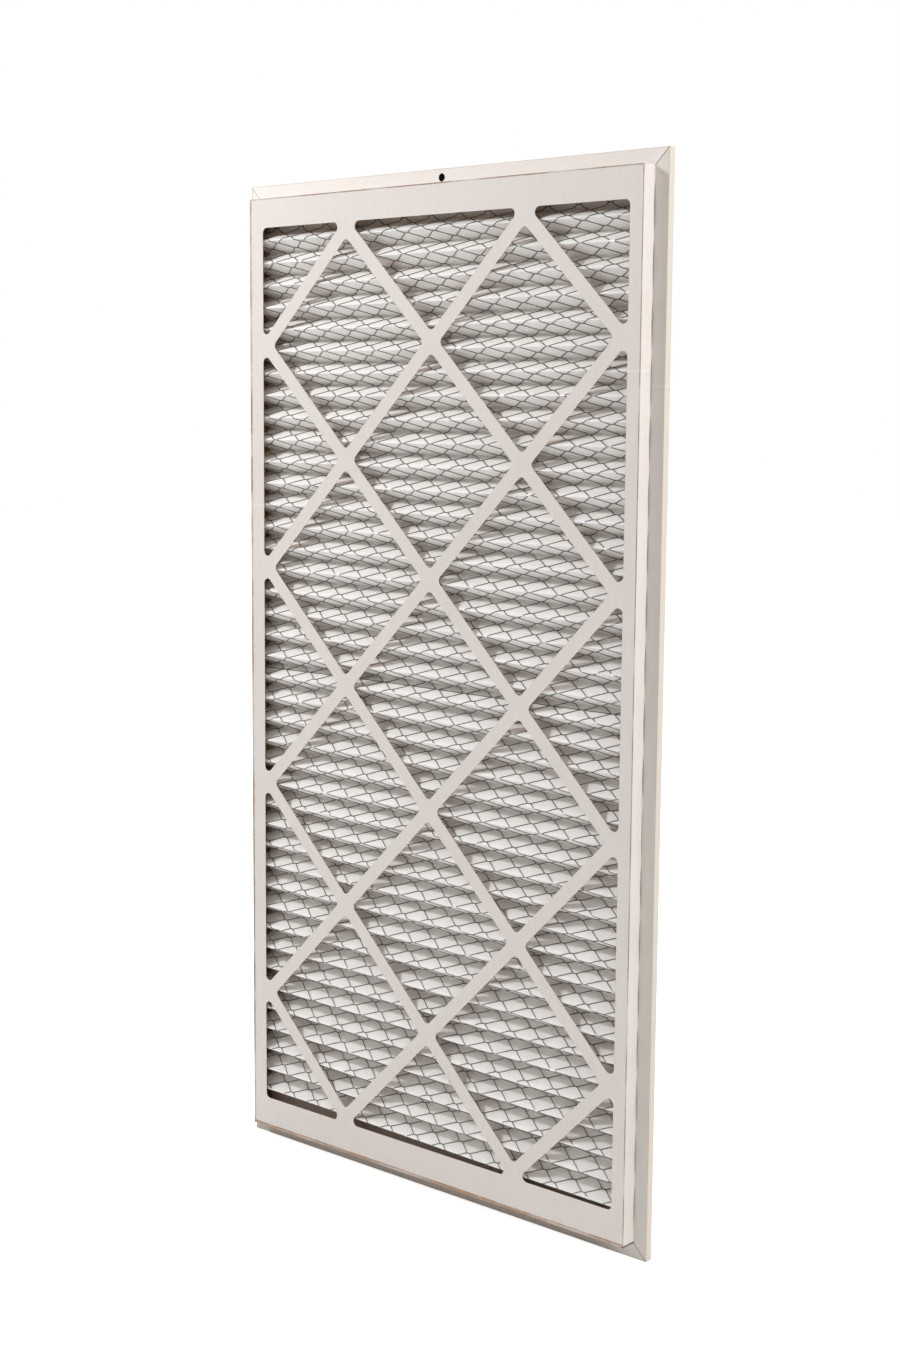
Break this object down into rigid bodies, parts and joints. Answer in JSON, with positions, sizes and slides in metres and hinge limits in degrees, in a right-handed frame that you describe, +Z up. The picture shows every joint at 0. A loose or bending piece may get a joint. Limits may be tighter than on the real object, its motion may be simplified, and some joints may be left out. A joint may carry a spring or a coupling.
{
  "type": "pleated panel air filter",
  "caption": "Pleated panel air filter: a folded board frame with a flange and a lattice of diagonal straps holds a pleated sheet of media that is backed with expanded metal.",
  "frame": {"origin": "middle of the bottom edge of the flange's rim, at half the overall depth", "axes": "+Z up along the long side, +X along the short side, +Y from the face that stands out in front of the flange towards the flat back face"},
  "size_m": [0.642, 0.031, 1.236],
  "materials": {
    "board": "matte",
    "media": "matte",
    "wire": "satin"
  },
  "bodies": {
    "root": {"front_frame": "board", "rear_frame": "board", "pleated_media": "media", "wire_backing": "wire"}
  },
  "joints": []
}
